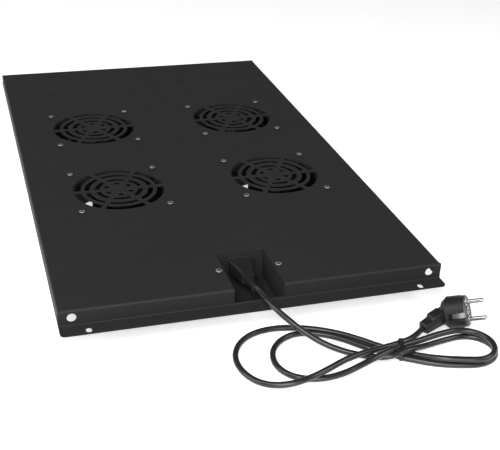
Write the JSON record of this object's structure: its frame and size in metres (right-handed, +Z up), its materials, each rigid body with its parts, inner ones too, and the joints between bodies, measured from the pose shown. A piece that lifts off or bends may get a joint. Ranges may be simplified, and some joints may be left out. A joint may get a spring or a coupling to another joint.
{
  "type": "rack fan tray",
  "caption": "Flat folded steel tray with round slotted grilles over axial fans, a recessed appliance inlet at the front edge and a tied power cord with plug.",
  "frame": {"origin": "on the standing surface, under the middle of the pan measured over its lips", "axes": "+Z up out of the grilles, +Y from the inlet's edge to the rear edge, +X to the right seen from the inlet's edge"},
  "size_m": [0.4264, 0.861, 0.0409],
  "materials": {
    "pan_paint": "satin black powder coat",
    "fan_casting": "black coated die casting",
    "impeller_plastic": "black moulded plastic",
    "stator_steel": "laminated steel with wound coils",
    "screw_plating": "plated, satin",
    "nut_plating": "bright zinc",
    "inlet_moulding": "black moulded plastic",
    "contact_plating": "bright nickel plating",
    "cord_moulding": "black flexible moulding",
    "cord_sheath": "black sheath, slight gloss",
    "block_moulding": "natural nylon"
  },
  "bodies": {
    "tray": {"tray_pan": "pan_paint", "inlet_box": "pan_paint", "fan_screws": "screw_plating", "fan_nuts": "nut_plating", "inlet_box_screws": "screw_plating", "inlet_box_nuts": "nut_plating", "inlet_socket": "inlet_moulding", "inlet_pins": "contact_plating", "connector_body": "cord_moulding", "connector_tail": "cord_moulding", "power_cord": "cord_sheath", "cord_tie": "cord_moulding", "plug_body": "cord_moulding", "plug_pins": "contact_plating", "plug_earth_clips": "contact_plating", "terminal_block": "block_moulding", "inlet_lead": "cord_sheath", "lead_clips": "block_moulding", "fan_frame_1": "fan_casting", "fan_stator_1": "stator_steel", "fan_lead_1": "cord_sheath", "fan_frame_2": "fan_casting", "fan_stator_2": "stator_steel", "fan_lead_2": "cord_sheath", "fan_frame_3": "fan_casting", "fan_stator_3": "stator_steel", "fan_lead_3": "cord_sheath", "fan_frame_4": "fan_casting", "fan_stator_4": "stator_steel", "fan_lead_4": "cord_sheath"},
    "rotor_1": {"impeller_1": "impeller_plastic"},
    "rotor_2": {"impeller_2": "impeller_plastic"},
    "rotor_3": {"impeller_3": "impeller_plastic"},
    "rotor_4": {"impeller_4": "impeller_plastic"}
  },
  "joints": [
    {"name": "fan_1_spin", "type": "hinge", "parent": "tray", "child": "rotor_1", "pos_m": [-0.1, 0.1065, 0.02], "axis": [0, 0, 1], "continuous": true},
    {"name": "fan_2_spin", "type": "hinge", "parent": "tray", "child": "rotor_2", "pos_m": [0.1, 0.1065, 0.02], "axis": [0, 0, 1], "continuous": true},
    {"name": "fan_3_spin", "type": "hinge", "parent": "tray", "child": "rotor_3", "pos_m": [-0.1, -0.0935, 0.02], "axis": [0, 0, 1], "continuous": true},
    {"name": "fan_4_spin", "type": "hinge", "parent": "tray", "child": "rotor_4", "pos_m": [0.1, -0.0935, 0.02], "axis": [0, 0, 1], "continuous": true}
  ]
}
